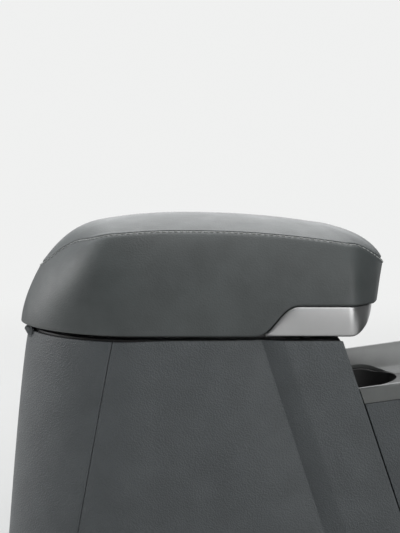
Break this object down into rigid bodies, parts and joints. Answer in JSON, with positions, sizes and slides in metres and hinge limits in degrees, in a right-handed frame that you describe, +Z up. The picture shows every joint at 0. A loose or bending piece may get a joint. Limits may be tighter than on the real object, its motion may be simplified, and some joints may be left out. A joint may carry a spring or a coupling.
{
  "type": "car center console",
  "caption": "Car centre console: a storage bin under a padded, hinged armrest lid with a front latch, and a low railed deck ahead of it with cup wells and a tray.",
  "frame": {"origin": "on the floor, under the middle of the console's length and width", "axes": "+X to the front of the car, +Y to the car's left, +Z up"},
  "size_m": [0.64, 0.216, 0.3615],
  "materials": {
    "grained_grey": "dark grey moulded plastic with a fine grain",
    "satin_grey": "mid grey satin plastic",
    "black_plastic": "black moulded plastic, matte",
    "leather": "dark grey leather with a fine grain",
    "foam": "soft foam filling",
    "silver_trim": "satin silver",
    "rubber": "black rubber, matte",
    "steel": "plated steel"
  },
  "bodies": {
    "console": {"carrier": "black_plastic", "rear_cover": "grained_grey", "side_panel_right": "grained_grey", "side_panel_left": "grained_grey", "deck_skirt_right": "grained_grey", "deck_skirt_left": "grained_grey", "front_cover": "grained_grey", "deck_frame": "satin_grey", "cup_tray": "black_plastic", "cup_mats": "rubber", "tray_mat": "rubber", "storage_bin": "black_plastic", "bin_mat": "rubber", "bin_surround": "black_plastic", "lid_bumpers": "rubber", "hinge_bracket": "steel", "hinge_screws": "steel", "hinge_pin": "steel", "catch_spring": "steel", "panel_screws": "steel"},
    "lid": {"lid_pan": "black_plastic", "lid_liner": "black_plastic", "lid_foam": "foam", "lid_top_cover": "leather", "lid_side_band": "leather", "front_trim": "silver_trim", "hinge_leaf": "steel", "liner_screws": "steel", "latch_pin": "steel", "latch_spring": "steel"},
    "latch": {"latch_paddle": "black_plastic"}
  },
  "joints": [
    {"name": "lid_hinge", "type": "hinge", "parent": "console", "child": "lid", "pos_m": [-0.29, 0, 0.25], "axis": [0, -1, 0], "range_deg": [0, 75], "deforming": ["catch_spring"]},
    {"name": "latch_turn", "type": "hinge", "parent": "lid", "child": "latch", "pos_m": [-0.008, 0, 0.2646], "axis": [0, -1, 0], "range_deg": [0, 12], "stiffness_Nm_per_rad": 0.3, "deforming": ["latch_spring"]}
  ]
}
